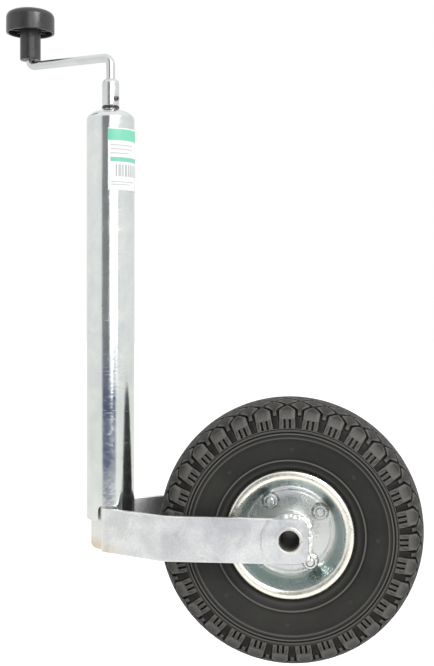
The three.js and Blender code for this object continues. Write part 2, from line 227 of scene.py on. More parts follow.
def to_mesh(name, shape, extra_shade=None):
    """A mesh in metres, with smooth faces and two attributes: a painted highlight on raised edges
    and painted shade in dips.

    The last argument is a function of a place that says how much more painted shade there is, from
    0 to 1.
    """
    shape.normal_update()
    flat_enough = 0.16
    span = 0.45
    wear = []
    grime = []
    for vert in shape.verts:
        turns = [e.calc_face_angle_signed(0) for e in vert.link_edges if len(e.link_faces) == 2]
        wear.append(min(1, max(0, max(turns, default=0) - flat_enough) / span))
        dip = max(0, -min(turns, default=0) - flat_enough) / span * 0.5
        grime.append(min(1, dip + (extra_shade(vert.co) if extra_shade else 0)))
    bmesh.ops.scale(shape, vec=(0.001, 0.001, 0.001), verts=shape.verts)
    mesh = bpy.data.meshes.new(name)
    shape.to_mesh(mesh)
    shape.free()
    for title, values in (("wear", wear), ("grime", grime)):
        mesh.attributes.new(title, "FLOAT", "POINT").data.foreach_set("value", values)
    smooth_over(mesh)
    return mesh


def smooth_over(mesh):
    """Smooth faces, with the edges that turn more sharply left sharp."""
    mesh.polygons.foreach_set("use_smooth", [True] * len(mesh.polygons))
    mesh.set_sharp_from_angle(angle=radians(38))


def new_object(name, data):
    """An object in the scene."""
    item = bpy.data.objects.new(name, data)
    bpy.context.scene.collection.objects.link(item)
    return item


def place(name, mesh, body, finish, nodes=()):
    """Puts a finished mesh into the scene, on its body and in place of its CAD nodes."""
    piece = new_object(name, mesh)
    mesh.materials.clear()
    mesh.materials.append(finish)
    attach(piece, body)
    if nodes:
        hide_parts(*nodes)
    return piece


def cut_away(mesh, tool):
    """The mesh less the tool, both closed."""
    holder = new_object("holder", mesh)
    cutter = new_object("cutter", tool)
    cutting = holder.modifiers.new("cutting", "BOOLEAN")
    cutting.operation = "DIFFERENCE"
    cutting.solver = "EXACT"
    cutting.object = cutter
    left = evaluated_mesh(holder)
    for one in (holder, cutter):
        bpy.data.objects.remove(one)
    smooth_over(left)
    return left


def evaluated_mesh(holder):
    """What an object's modifiers make of it, as a plain mesh."""
    graph = bpy.context.evaluated_depsgraph_get()
    return bpy.data.meshes.new_from_object(holder.evaluated_get(graph))


# ---- nodes ----
class Value:
    """A node's socket that works in sums: each operation adds a Math node."""

    def __init__(self, socket):
        self.socket = socket

    def __add__(self, other):
        return calc("ADD", self, other)

    def __sub__(self, other):
        return calc("SUBTRACT", self, other)

    def __rsub__(self, other):
        return calc("SUBTRACT", other, self)

    def __mul__(self, other):
        return calc("MULTIPLY", self, other)

    def __truediv__(self, other):
        return calc("DIVIDE", self, other)

    __radd__ = __add__
    __rmul__ = __mul__

    def above(self, edge):
        return calc("GREATER_THAN", self, edge)

    def between(self, low, high):
        return self.above(low) * (1 - self.above(high))

    def ramp(self, low, high):
        """0 at low and 1 at high, held between them."""
        return Tree(self.socket.id_data).node("ShaderNodeMapRange", inputs={
            "Value": self, "From Min": low, "From Max": high}, out="Result")


def calc(operation, *terms):
    """A Math node on values and numbers."""
    tree = next(term.socket.id_data for term in terms if isinstance(term, Value))
    return Tree(tree).node("ShaderNodeMath", {"operation": operation}, dict(enumerate(terms)))


def connect(tree, source, socket):
    """Links a value to a socket, or sets a number or a colour on it."""
    if isinstance(source, Value):
        tree.links.new(source.socket, socket)
    elif hasattr(source, "__len__") and len(source) == 3 and socket.type == "RGBA":
        socket.default_value = (*source, 1)
    else:
        socket.default_value = source


def set_stops(ramp, stops):
    """Gives a colour ramp its stops, each a position and a colour."""
    while len(ramp.elements) < len(stops):
        ramp.elements.new(0.5)
    for element, (position, colour) in zip(ramp.elements, stops):
        element.position = position
        element.color = colour


class Tree:
    """A node tree under construction."""

    def __init__(self, tree):
        self.tree = tree

    def node(self, kind, settings=None, inputs=None, out=0):
        """A new node: first its settings, then the values or links of its sockets."""
        node = self.tree.nodes.new(kind)
        for title, value in (settings or {}).items():
            if title == "stops":
                set_stops(node.color_ramp, value)
            else:
                setattr(node, title, value)
        for title, value in (inputs or {}).items():
            connect(self.tree, value, node.inputs[title])
        return Value(node.outputs[out]) if len(node.outputs) else None

    def split(self, vector):
        """A vector's three parts."""
        parts = self.node("ShaderNodeSeparateXYZ", inputs={"Vector": vector}).socket.node
        return [Value(socket) for socket in parts.outputs]

    def mix(self, share, first, second):
        return self.node(
            "ShaderNodeMix", {"data_type": "RGBA"}, {0: share, 6: first, 7: second}, out=2)


# ---- Geometry Nodes: one shape set round an axis ----
def round_axis_tree():
    group = bpy.data.node_groups.new("set_round_axis", "GeometryNodeTree")
    for title, kind in (
        ("Geometry", "Geometry"), ("Count", "Int"), ("Start", "Float"),
        ("Centre", "Vector"), ("Axis", "Vector"), ("Finish", "Material"),
    ):
        group.interface.new_socket(name=title, in_out="INPUT", socket_type="NodeSocket" + kind)
    group.interface.new_socket(
        name="Geometry", in_out="OUTPUT", socket_type="NodeSocketGeometry")
    tree = Tree(group)
    entry = tree.node("NodeGroupInput").socket.node
    given = {socket.name: Value(socket) for socket in entry.outputs}
    points = tree.node("GeometryNodePoints", inputs={
        "Count": given["Count"], "Position": given["Centre"]})
    share = tree.node("GeometryNodeInputIndex") / given["Count"]
    angle = calc("MULTIPLY_ADD", share, 2 * pi, given["Start"])
    turn = tree.node("FunctionNodeAxisAngleToRotation", inputs={
        "Axis": given["Axis"], "Angle": angle})
    copies = tree.node("GeometryNodeInstanceOnPoints", inputs={
        "Points": points, "Instance": given["Geometry"], "Rotation": turn})
    real = tree.node("GeometryNodeRealizeInstances", inputs={"Geometry": copies})
    painted = tree.node("GeometryNodeSetMaterial", inputs={
        "Geometry": real, "Material": given["Finish"]})
    tree.node("NodeGroupOutput", inputs={0: painted})
    return group


ROUND_AXIS = round_axis_tree()


def set_round(name, unit, count, start, centre, axis, finish, extra_shade=None):
    """One plain mesh with copies of the unit, which is modelled about the origin."""
    holder = new_object("holder", to_mesh(name, unit, extra_shade))
    modifier = holder.modifiers.new("set_round", "NODES")
    modifier.node_group = ROUND_AXIS
    inputs = {
        "Count": count, "Start": start, "Centre": [c / 1000 for c in centre],
        "Axis": axis, "Finish": finish,
    }
    for item in ROUND_AXIS.interface.items_tree:
        if item.in_out == "INPUT" and item.name in inputs:
            modifier[item.identifier] = inputs[item.name]
    mesh = evaluated_mesh(holder)
    bpy.data.objects.remove(holder)
    smooth_over(mesh)
    return mesh


# ---- finishes ----
class Finish(Tree):
    """A material under construction. Its pattern reads the Object coordinates, in metres."""

    def __init__(self, name):
        self.material = bpy.data.materials.new(name)
        self.material.use_nodes = True
        super().__init__(self.material.node_tree)
        self.shader = self.tree.nodes["Principled BSDF"]
        self.where = self.node("ShaderNodeTexCoord", out="Object")

    def attribute(self, title):
        return self.node("ShaderNodeAttribute", {"attribute_name": title}, out="Fac")

    def axes(self):
        return self.split(self.where)

    def stretched(self, scale):
        return self.node("ShaderNodeMapping", inputs={
            "Vector": self.where, "Scale": scale})

    def clouds(self, scale, detail=4, roughness=0.55, distortion=0, where=None):
        return self.node("ShaderNodeTexNoise", inputs={
            "Vector": where or self.where, "Scale": scale, "Detail": detail,
            "Roughness": roughness, "Distortion": distortion})

    def bump(self, height, depth, strength=1.0):
        return self.node("ShaderNodeBump", inputs={
            "Height": height, "Distance": depth, "Strength": strength})

    def done(self, **sockets):
        """Fills the shader's sockets and gives the material."""
        for title, value in sockets.items():
            connect(self.tree, value, self.shader.inputs[title.replace("_", " ")])
        return self.material


def plated(name, light, dark, tint, rough, streaks=0.0, grain=0.35, stains=None):
    """Zinc plating: crystal mottling, colour haze, fine drawn streaks, scratches, painted shade in
    creases and a painted highlight on raised edges.
    """
    finish = Finish(name)
    patches = finish.clouds(38, 5, 0.6, 0.6).ramp(0.36, 0.66)
    haze = finish.clouds(17, 3, 0.5, 1.2).ramp(0.48, 0.72)
    speckle = finish.clouds(420, 3, 0.7).ramp(0.3, 0.75)
    crystals = finish.node(
        "ShaderNodeTexVoronoi", inputs={"Vector": finish.where, "Scale": 260.0}, out="Distance")
    lines = finish.clouds(1, 4, 0.6, where=finish.stretched((900, 900, 14))).ramp(0.35, 0.7)
    scratches = finish.clouds(
        1, 2, 0.5, 0.2, where=finish.stretched((90, 90, 1400))).ramp(0.66, 0.74)
    tone = patches * 0.55 + speckle * grain + lines * streaks
    colour = finish.mix(tone, dark, light)
    colour = finish.mix(haze * 0.5, colour, tint)
    if stains:
        colour = stains(finish, colour)
    grime = finish.attribute("grime")
    wear = finish.attribute("wear")
    # Painted shade: the metal is darkened in creases and recesses.
    colour = finish.mix(grime * 0.85, colour, (0.07, 0.066, 0.06))
    # Painted highlight: raised edges are coloured near white.
    colour = finish.mix(wear * 0.5, colour, (0.9, 0.9, 0.88))
    roughness = patches * 0.1 + speckle * 0.08 + scratches * 0.12 + grime * 0.2 + rough
    height = speckle * 0.5 + crystals * 0.5 + lines * streaks - scratches * 0.8
    return finish.done(
        Base_Color=colour, Roughness=roughness, Metallic=1.0,
        Normal=finish.bump(height, 0.00012, 0.35))


def heat_stain(finish, colour):
    """The tan burn mark that the weld left at the leg's foot."""
    x, y, z = finish.axes()
    edge = finish.clouds(160, 3) * 0.012
    low = 1 - (z + edge).ramp(-0.226, -0.208)
    left = 1 - (x + edge).ramp(-0.012, 0.03)
    return finish.mix(low * left, colour, (0.62, 0.44, 0.25))


def rim_bands(finish, colour):
    """A painted cream highlight on the lips, a painted slate shade on the wall round the dish, a
    painted shade ring at the wall's foot and a dirty ring round each nut.
    """
    x, y, z = finish.axes()
    across = x * 1000 - AXLE.x
    up = z * 1000 - AXLE.z
    far = calc("SQRT", across * across + up * up)
    turn = calc("ARCTAN2", up, across) - BOLT_START
    quarter = calc("FLOORED_MODULO", turn + pi / 4, pi / 2) - pi / 4
    apart = far * far + BOLT_CIRCLE ** 2 - 2 * BOLT_CIRCLE * far * calc("COSINE", quarter)
    wall = far.ramp(44.5, 46.5) * (1 - far.ramp(51, 53.5))
    ring = far.ramp(43.2, 44) * (1 - far.ramp(44.6, 45.4))
    lip = far.ramp(53, 54.5)
    dirt = apart.ramp(42, 50) * (1 - apart.ramp(66, 84)) * finish.clouds(150, 3).ramp(0.2, 0.5)
    # Painted highlight: the rolled lips are coloured a pale cream.
    colour = finish.mix(lip * 0.7, colour, (0.97, 0.93, 0.80))
    # Painted shade: the dish wall is coloured slate, and the ring at its foot darker still.
    colour = finish.mix(wall * 0.92, colour, (0.32, 0.41, 0.41))
    colour = finish.mix(ring * 0.5, colour, (0.24, 0.30, 0.29))
    return finish.mix(dirt * 0.75, colour, (0.13, 0.13, 0.12))


def rubber_finish(name, light, dark, rough):
    """Rubber with a brown bloom, a pale painted highlight on its raised edges and painted shade,
    near black, in its grooves.
    """
    finish = Finish(name)
    broad = finish.clouds(26, 4, 0.6).ramp(0.35, 0.68)
    fine = finish.clouds(520, 4, 0.7).ramp(0.3, 0.75)
    bloom = finish.clouds(11, 3, 0.5, 0.8).ramp(0.5, 0.75)
    grime = finish.attribute("grime")
    wear = finish.attribute("wear")
    colour = finish.mix(broad * 0.6 + fine * 0.4, dark, light)
    colour = finish.mix(bloom * 0.35, colour, (0.04, 0.034, 0.028))
    # Painted highlight: raised edges of the rubber are coloured paler.
    colour = finish.mix(wear * 0.6, colour, (0.15, 0.145, 0.135))
    # Painted shade: the rubber goes near black in creases and grooves.
    colour = finish.mix(grime * 0.95, colour, (0.0015, 0.0015, 0.0014))
    roughness = broad * 0.12 + fine * 0.1 + rough
    return finish.done(
        Base_Color=colour, Roughness=roughness, Specular_IOR_Level=0.22,
        Normal=finish.bump(fine + broad * 0.6, 0.00025, 0.5))


def plastic_finish(name, light, dark, rough, grain=0.0002):
    """Moulded plastic with a pebbled skin, a few scuffs and a painted highlight on raised edges."""
    finish = Finish(name)
    pebbles = finish.node("ShaderNodeTexVoronoi", inputs={
        "Vector": finish.where, "Scale": 900.0}, out="Distance")
    broad = finish.clouds(45, 4, 0.6).ramp(0.35, 0.7)
    scuffs = finish.clouds(
        1, 3, 0.6, 0.5, where=finish.stretched((60, 700, 200))).ramp(0.62, 0.72)
    wear = finish.attribute("wear")
    colour = finish.mix(broad, dark, light)
    # The scuffs are lighter streaks, and the raised edges get a painted highlight.
    colour = finish.mix(scuffs * 0.25 + wear * 0.3, colour, tuple(c * 1.6 + 0.05 for c in light))
    return finish.done(
        Base_Color=colour, Roughness=broad * 0.1 + scuffs * 0.15 + rough,
        Normal=finish.bump(pebbles + broad * 0.4, grain, 0.25))


def label_finish():
    """Printed film: a green heading band, thin rules and a row of bars, with no lettering."""
    finish = Finish("label_film")
    x, y, z = finish.axes()
    round_by = calc("ARCTAN2", y, x) * 24.6
    down = corners("label")[1].z - z * 1000

    def block(fro, to, left, right):
        return down.between(fro, to) * round_by.between(left, right)

    heading = down.between(1.2, 12.5)
    rules = block(16.6, 17.6, -34, -8) + block(20.6, 21.6, -34, -8) + block(24.6, 25.6, -34, -14)
    rules = rules + block(53, 53.8, -33, -6) + block(55.6, 56.4, -33, -12)
    tab = block(29.0, 33.4, -34, 6)
    stripes = calc("SINE", round_by * 4.4).above(-0.2)
    ragged = calc("SINE", round_by * 1.7).above(-0.55)
    bars = block(36.0, 48.0, -29, 2) * stripes * ragged
    ink = finish.clouds(900, 3, 0.7).ramp(0.2, 0.7)
    dust = finish.clouds(70, 4, 0.6).ramp(0.5, 0.8)
    colour = finish.mix(dust * 0.25, (0.70, 0.72, 0.71), (0.58, 0.60, 0.58))
    colour = finish.mix(heading * 0.95, colour, (0.14, 0.50, 0.35))
    colour = finish.mix(tab * 0.9, colour, (0.12, 0.46, 0.32))
    colour = finish.mix(rules * 0.7, colour, (0.30, 0.28, 0.28))
    colour = finish.mix(bars * (ink * 0.3 + 0.6), colour, (0.08, 0.09, 0.09))
    return finish.done(
        Base_Color=colour, Roughness=dust * 0.2 + 0.42, Specular_IOR_Level=0.3,
        Normal=finish.bump(ink + dust, 0.00005, 0.3))


TUBE_ZINC = plated(
    "tube_zinc", (0.84, 0.86, 0.83), (0.66, 0.70, 0.69), (0.62, 0.64, 0.74), 0.07, 0.14,
    grain=0.24)
LEG_ZINC = plated(
    "leg_zinc", (0.86, 0.86, 0.83), (0.70, 0.70, 0.68), (0.72, 0.71, 0.69), 0.3,
    grain=0.45, stains=heat_stain)
ARM_ZINC = plated(
    "arm_zinc", (0.92, 0.93, 0.92), (0.58, 0.59, 0.61), (0.62, 0.63, 0.68), 0.34,
    grain=0.5, stains=heat_stain)
BEAD_ZINC = plated(
    "weld_zinc", (0.86, 0.86, 0.84), (0.62, 0.62, 0.60), (0.72, 0.69, 0.62), 0.36, grain=0.6)
RIM_ZINC = plated(
    "rim_zinc", (0.95, 0.95, 0.91), (0.72, 0.77, 0.76), (0.78, 0.77, 0.70), 0.2, grain=0.3,
    stains=rim_bands)
ROD_ZINC = plated(
    "rod_zinc", (0.82, 0.84, 0.82), (0.60, 0.62, 0.61), (0.62, 0.64, 0.68), 0.14, grain=0.08)
STEEL = plated(
    "bright_steel", (0.95, 0.95, 0.93), (0.74, 0.74, 0.73), (0.8, 0.76, 0.72), 0.16, grain=0.3)
BLACK_STEEL = plated(
    "black_steel", (0.06, 0.06, 0.062), (0.025, 0.025, 0.026), (0.05, 0.045, 0.04), 0.34)
KNOB_PLASTIC = plastic_finish("knob_plastic", (0.036, 0.036, 0.035), (0.02, 0.02, 0.021), 0.26)
NYLON = plastic_finish("nylon", (0.70, 0.68, 0.61), (0.58, 0.56, 0.5), 0.4)
TYRE_RUBBER = rubber_finish("tyre_rubber", (0.028, 0.028, 0.025), (0.014, 0.014, 0.0135), 0.52)
# A painted lit copy of the tyre rubber: the tread blocks are coloured lighter than the sidewall, as
# if lit.
LIT_TREAD_RUBBER = rubber_finish("lit_tread_rubber", (0.043, 0.041, 0.037), (0.021, 0.020, 0.019), 0.48)
TUBE_RUBBER = rubber_finish("air_tube_rubber", (0.03, 0.03, 0.028), (0.016, 0.016, 0.016), 0.6)
LABEL_FILM = label_finish()


# ---- jack tube: outer tube, label, washer ----
def tube_body():
    """The outer tube: a domed top with a hole, and a notch front and rear."""
    low, high = corners("outer_tube")
    radius = high.x
    wall = 2.5
    bottom = low.z
    rise = 11
    shoulder = high.z - rise
    hole = 7.2

    def dome(r, height):
        end = math.acos(hole / r)
        return [(r * cos(end * k / 14), shoulder + height * sin(end * k / 14)) for k in range(15)]

    bore = radius - wall
    lip = filleted([(bore, bottom + 30), (bore, bottom), (radius, bottom), (radius, bottom + 30)],
                   0.6, closed=False)
    profile = lip + dome(radius, rise) + dome(bore, rise - wall)[::-1]
    shell = to_mesh("tube_body", turned(profile, segments=128))
    for side in (-1, 1):
        shell = cut_away(shell, to_mesh("notch", notch_tool(side)))
    return place("tube_body", shell, "jack_tube", TUBE_ZINC, ["outer_tube"])


NOTCH_LEFT = -8.4
NOTCH_RIGHT = 11.6
NOTCH_TOP = -184.3
NOTCH_FOOT = -206  # below the tube's end


def notch_outline(grow=0.0):
    """The lock notch seen from the front: up the left side, across and down the right."""
    left = NOTCH_LEFT - grow
    right = NOTCH_RIGHT + grow
    top = NOTCH_TOP + grow
    corner_points = [(left, NOTCH_FOOT), (left, top), (right, top), (right, NOTCH_FOOT)]
    return filleted(corner_points, 6, steps=8, closed=False)


def notch_tool(side):
    """A block with the notch's outline, through the tube's front or rear wall."""
    shape = bmesh.new()
    rows = []
    for y in (side * 12, side * 34):
        rows.append([shape.verts.new((x, y, z)) for x, z in notch_outline()])
    join_rings(shape, *rows)
    for row in rows:
        shape.faces.new(row)
    return facing_out(shape)


def notch_burrs():
    """The plated burr along each notch's edge."""
    low, high = corners("outer_tube")
    foot = low.z + 0.8
    beads = []
    for side in (-1, 1):
        path = []
        for x, z in notch_outline(0.15)[1:-1]:
            path.append((x, side * math.sqrt(high.x ** 2 - x ** 2), z))
        path = [(*path[0][:2], foot), *path, (*path[-1][:2], foot)]
        beads.append(swept(
            spaced(path, 0.8),
            lambda walked, a: 0.32 + 0.16 * noise((walked * 0.9, side * 7, 0)), 8))
    return place(
        "notch_burrs", to_mesh("notch_burrs", merged(*beads)), "jack_tube",
        BEAD_ZINC)


def label_film():
    """A thin film bent part of the way round the tube."""
    low, high = corners("label")
    inner = 24.15
    outer = 24.5
    start = radians(-85)
    end = radians(34)
    columns = 40
    shape = bmesh.new()
    rows = []
    for r, z in filleted([(inner, low.z), (outer, low.z), (outer, high.z), (inner, high.z)], 0.1):
        rows.append([
            shape.verts.new(turn_point(r, z, start + (end - start) * k / columns, "Z"))
            for k in range(columns + 1)
        ])
    join_rows(shape, rows, looped=True, closed=False)
    for k in (0, columns):
        shape.faces.new([row[k] for row in rows])
    mesh = to_mesh("label_wrap", facing_out(shape))
    return place("label_wrap", mesh, "jack_tube", LABEL_FILM, ["label"])


def ring_on_tube(name, node, inner, body, finish, edge=0.4, segments=96):
    """A plain turned ring on the tube's axis, as big as its CAD node."""
    low, high = corners(node)
    profile = ring_profile(inner, high.x, low.z, high.z, edge)
    mesh = to_mesh(name, turned(profile, segments=segments))
    return place(name, mesh, body, finish, [node])


tube_body()
notch_burrs()
label_film()
ring_on_tube("dome_washer", "top_washer", 6.3, "jack_tube", KNOB_PLASTIC)
ring_on_tube("lower_guide", "guide_ring_lower", 19.8, "jack_tube", NYLON)
ring_on_tube("upper_guide", "guide_ring_upper", 19.8, "leg", NYLON)
ring_on_tube("upper_race", "race_upper", 6.3, "jack_tube", STEEL)
ring_on_tube("lower_race", "race_lower", 6.3, "crank", STEEL)
ring_on_tube("load_collar", "spindle_collar", 6.3, "crank", BLACK_STEEL, 0.8)
ring_on_tube("end_collar", "stop_collar", 7.3, "crank", BLACK_STEEL, 0.8)
ring_on_tube("leg_nut", "spindle_nut", 7.3, "nut_carrier", BLACK_STEEL, 0.8)


def bearing_balls():
    """The thrust bearing's balls, a little apart."""
    low, high = corners("ball_ring")
    middle = (low.z + high.z) / 2
    radius = 1.85
    race = 10.6
    half_circle = [(radius * sin(pi * k / 8), -radius * cos(pi * k / 8)) for k in range(9)]
    ball = turned(half_circle, (race, 0, 0), segments=12)
    mesh = set_round("bearing_balls", ball, 14, 0.0, (0, 0, middle), (0.0, 0.0, 1.0), STEEL)
    return place("bearing_balls", mesh, "crank", STEEL, ["ball_ring"])


bearing_balls()


# ---- screw: a trapezoid thread on a plain neck ----
def screw():
    """The screw, its thread fading out at both ends, with a plain neck above."""
    low, high = corners("spindle")
    radius = 7.0
    pitch = 4.0
    depth = 1.6
    thread_top = 184
    neck = 6.0
    segments = 24
    per_turn = 8
    shape = bmesh.new()
    rows = [ring_of_points(shape, 0, low.z, segments)]
    count = round((thread_top - low.z) / pitch * per_turn)
    for i in range(count + 1):
        z = low.z + (thread_top - low.z) * i / count
        fade = min(1, (z - low.z) / 2, (thread_top - z) / 6 + 0.02)
        row = []
        for k in range(segments):
            phase = (z / pitch - k / segments) % 1
            dip = min(1, max(0, 2.2 - abs(phase - 0.5) * 8)) if abs(phase - 0.5) < 0.3 else 0
            r = radius - depth * dip * fade - (1 - min(1, (z - low.z) / 1.2)) * 1.2
            row.append(shape.verts.new(turn_point(r, z, 2 * pi * k / segments, "Z")))
        rows.append(row)
    for r, z in ((neck, thread_top + 1), (neck, high.z - 0.6), (neck - 0.6, high.z), (0, high.z)):
        rows.append(ring_of_points(shape, r, z, segments))
    join_rows(shape, rows)
    mesh = to_mesh("screw", facing_out(shape))
    return place("screw", mesh, "crank", STEEL, ["spindle"])


screw()


def cross_pin(name, node):
    """A plain level pin."""
    low, high = corners(node)
    radius = (high.z - low.z) / 2
    profile = filleted([(0, low.x, 0), (radius, low.x), (radius, high.x), (0, high.x, 0)], 0.5)
    shape = turned(profile, (0, 0, (low.z + high.z) / 2), "X", 32)
    return place(name, to_mesh(name, shape), "crank", STEEL, [node])


SOCKET_PIN_HALF = 10.5
SOCKET_PIN_TURN = Matrix.Rotation(radians(-38), 3, "Z")


def spring_pin(name, node):
    """A rolled level pin, open along one side, and turned about the tube's axis."""
    low, high = corners(node)
    centre = Vector((0, 0, (low.z + high.z) / 2))
    bore = 1.35
    radius = (high.z - low.z) / 2
    half = SOCKET_PIN_HALF
    columns = 28
    shape = bmesh.new()
    rows = []
    for r, x in filleted([(bore, -half), (radius, -half), (radius, half), (bore, half)], 0.35):
        rows.append([
            shape.verts.new(centre + turn_point(r, x, radians(102 + 336 * k / columns), "X"))
            for k in range(columns + 1)
        ])
    join_rows(shape, rows, looped=True, closed=False)
    for k in (0, columns):
        shape.faces.new([row[k] for row in rows])
    facing_out(shape)
    bmesh.ops.rotate(shape, verts=shape.verts, matrix=SOCKET_PIN_TURN)
    return place(name, to_mesh(name, shape), "crank", BLACK_STEEL, [node])


spring_pin("socket_pin", "roll_pin")
cross_pin("collar_cross_pin", "collar_pin")
cross_pin("end_cross_pin", "stop_pin")


# ---- crank: socket, bent rod, knob ----
def socket_sleeve():
    """A sleeve with a domed top, a bore for the rod and one for the screw, and a cross hole."""
    low, high = corners("crank_socket")
    radius = high.x
    shoulder = 236.5
    bore = 4.7
    screw_bore = 6.3
    step = 226
    pin_z = 220.7
    end = math.acos(bore / radius)
    dome = [(radius * cos(end * k / 12), shoulder + (high.z - shoulder) * sin(end * k / 12))
            for k in range(13)]
    profile = filleted(
        [(screw_bore, low.z), (radius, low.z, 0.8), (radius, low.z + 4, 0)], 0.3)[:-1]
    profile = [*profile, (radius, low.z + 4), *dome, (bore, step), (screw_bore, step)]
    mesh = to_mesh("socket_sleeve", turned(profile, segments=96))
    hole = turned([(0, -14), (2.75, -14), (2.75, 14), (0, 14)], (0, 0, pin_z), "X", 32)
    bmesh.ops.rotate(hole, verts=hole.verts, matrix=SOCKET_PIN_TURN)
    mesh = cut_away(mesh, to_mesh("pin_hole", hole))
    return place("socket_sleeve", mesh, "crank", ROD_ZINC, ["crank_socket"])


KNOB_AXIS = sum(corners("knob"), Vector()) / 2
KNOB_AXIS.z = 0
CRANK_WAY = KNOB_AXIS.normalized()


def bent_rod():
    """A bar bent out of the socket and up into the knob."""
    throw = KNOB_AXIS.length
    level = 263.3
    radius = 4.4

    def bend(along, z, bend_radius, start, way):
        """A quarter circle about a point."""
        turns = (start + way * k * pi / 32 for k in range(17))
        return [(along + bend_radius * cos(a), z + bend_radius * sin(a)) for a in turns]

    path = [(0, 227), (0, 240)]
    path += bend(8.0, level - 8.0, 8.0, pi, -1)
    path += bend(throw - 5.6, level + 5.6, 5.6, -pi / 2, 1)
    path.append((throw, corners("crank_rod")[1].z - 0.4))
    points = [CRANK_WAY * along + Vector((0, 0, z)) for along, z in path]
    mesh = to_mesh("bent_rod", swept(points, radius, 40))
    return place("bent_rod", mesh, "crank", ROD_ZINC, ["crank_rod"])


def knob():
    """A hollow cap on a stem, moulded in one, with ribs under the cap."""
    low, high = corners("knob")
    radius = (high.x - low.x) / 2
    rim = 297.7
    top = high.z
    bore = 4.7
    ceiling = top - 12
    profile = filleted([
        (bore, low.z, 0.4), (10.7, low.z, 1.2), (10.7, ceiling - 5, 2),
        (radius - 2.5, ceiling - 5, 3), (radius - 2.5, rim, 0.6), (radius, rim, 0.9),
        (radius, top - 8.6, 2), (radius - 1.6, top - 5.2, 2), (radius - 5.6, top - 2.9, 3),
        (radius - 15, top - 0.6, 4), (0, top, 0), (0, ceiling + 2, 0), (bore, ceiling + 2, 0.4),
    ], steps=5)
    cap = to_mesh("knob_cap", turned(profile, KNOB_AXIS, segments=128))
    place("knob_cap", cap, "knob_grip", KNOB_PLASTIC, ["knob"])
    rib = box_shape((9.8, -0.8, rim + 2.5), (radius - 2, 0.8, ceiling - 4), 0.25)
    ribs = set_round("knob_ribs", rib, 8, 0.2, KNOB_AXIS, (0.0, 0.0, 1.0), KNOB_PLASTIC)
    place("knob_ribs", ribs, "knob_grip", KNOB_PLASTIC)


def box_shape(low, high, edge):
    """A block between two corners, its edges rounded."""
    shape = bmesh.new()
    bmesh.ops.create_cube(shape, size=1)
    for vert in shape.verts:
        for i in range(3):
            vert.co[i] = low[i] if vert.co[i] < 0 else high[i]
    bmesh.ops.bevel(shape, geom=shape.edges, offset=edge, segments=2, affect="EDGES", profile=0.5)
    return shape


socket_sleeve()
bent_rod()
knob()


# ---- leg: inner tube, fork arms, axle ----
def leg_tube():
    """The inner tube, closed at its foot but for a small hole."""
    low, high = corners("inner_tube")
    radius = high.x
    wall = 2.5
    hole = 7
    profile = filleted([
        (hole, low.z, 0.6), (radius, low.z, 5), (radius, high.z, 0.6),
        (radius - wall, high.z, 0.6), (radius - wall, low.z + wall, 2.5),
        (hole, low.z + wall, 0.6),
    ], steps=6)
    profile = with_rows(profile, 30)
    mesh = to_mesh("leg_tube", turned(profile, segments=112))
    return place("leg_tube", mesh, "leg", LEG_ZINC, ["inner_tube"])


def with_rows(profile, longest):
    """The profile with no side longer than a limit."""
    rows = []
    for a, b in zip(profile, profile[1:] + profile[:1]):
        count = max(1, math.ceil(math.dist(a, b) / longest))
        rows += [(a[0] + (b[0] - a[0]) * k / count, a[1] + (b[1] - a[1]) * k / count)
                 for k in range(count)]
    return rows


ARM_T = 5.0
ARM_LINE_Y = 54.5  # middle of the bar's thickness
SPLAY = radians(25.93)
ARM_START = Vector((-3.46, 23.12))
ARM_CORNER = 12
PAD_R = 26.5


def arm_route(end_x):
    """Stations along the bar in plan: place, outward direction."""
    along = Vector((cos(SPLAY), sin(SPLAY)))
    bend = ARM_START + along * ((ARM_LINE_Y - ARM_START.y) / along.y)
    reach = 4.0
    first, last = bend - along * reach, bend + Vector((reach, 0))
    stations = [(ARM_START, SPLAY), (ARM_START + along * 0.5, SPLAY)]
    stations += [(ARM_START.lerp(first, k / 10), SPLAY) for k in range(1, 11)]
    for k in range(1, 9):
        t = k / 8
        point = first * (1 - t) ** 2 + bend * (2 * t * (1 - t)) + last * t * t
        stations.append((point, SPLAY * (1 - t)))
    xs = [last.x + (150 - last.x) * k / 12 for k in range(1, 13)]
    xs += [150 + 1.2 * k for k in range(1, 31)]
    corner = end_x - ARM_CORNER
    xs = [x for x in xs if x < corner - 0.5]
    xs += [corner + ARM_CORNER * sin(pi / 2 * k / 12) for k in range(12)]
    xs += [end_x - 0.25, end_x]
    stations += [(Vector((x, ARM_LINE_Y)), 0.0) for x in xs]
    return stations


def arm_section(x, plan_angle, bottom, top, pinch):
    """Offsets across the bar and heights, round its edge from the outer face's foot."""
    half = ARM_T / 2 - pinch
    edge = 0.9

    def corner(across, height, start):
        """The points along a rounded edge of the bar."""
        turns = (start + pi / 2 * k / 4 for k in range(1, 4))
        return [(across + edge * cos(a), height + edge * sin(a)) for a in turns]

    points = []
    for k in range(19):
        z = bottom + edge + (top - bottom - 2 * edge) * k / 18
        far = math.hypot(x - AXLE.x, z - AXLE.z)
        lift = 0.8 * min(1, max(0, (PAD_R - far) / 1.3)) if plan_angle == 0 else 0
        points.append((half + lift, z))
    points += corner(half - edge, top - edge, 0)
    points += [(half - edge, top), (edge - half, top)]
    points += corner(edge - half, top - edge, pi / 2)
    points += [(-half, top - edge - (top - bottom - 2 * edge) * k / 6) for k in range(7)]
    points += corner(edge - half, bottom + edge, pi)
    points += [(edge - half, bottom), (half - edge, bottom)]
    return points + corner(half - edge, bottom + edge, 1.5 * pi)


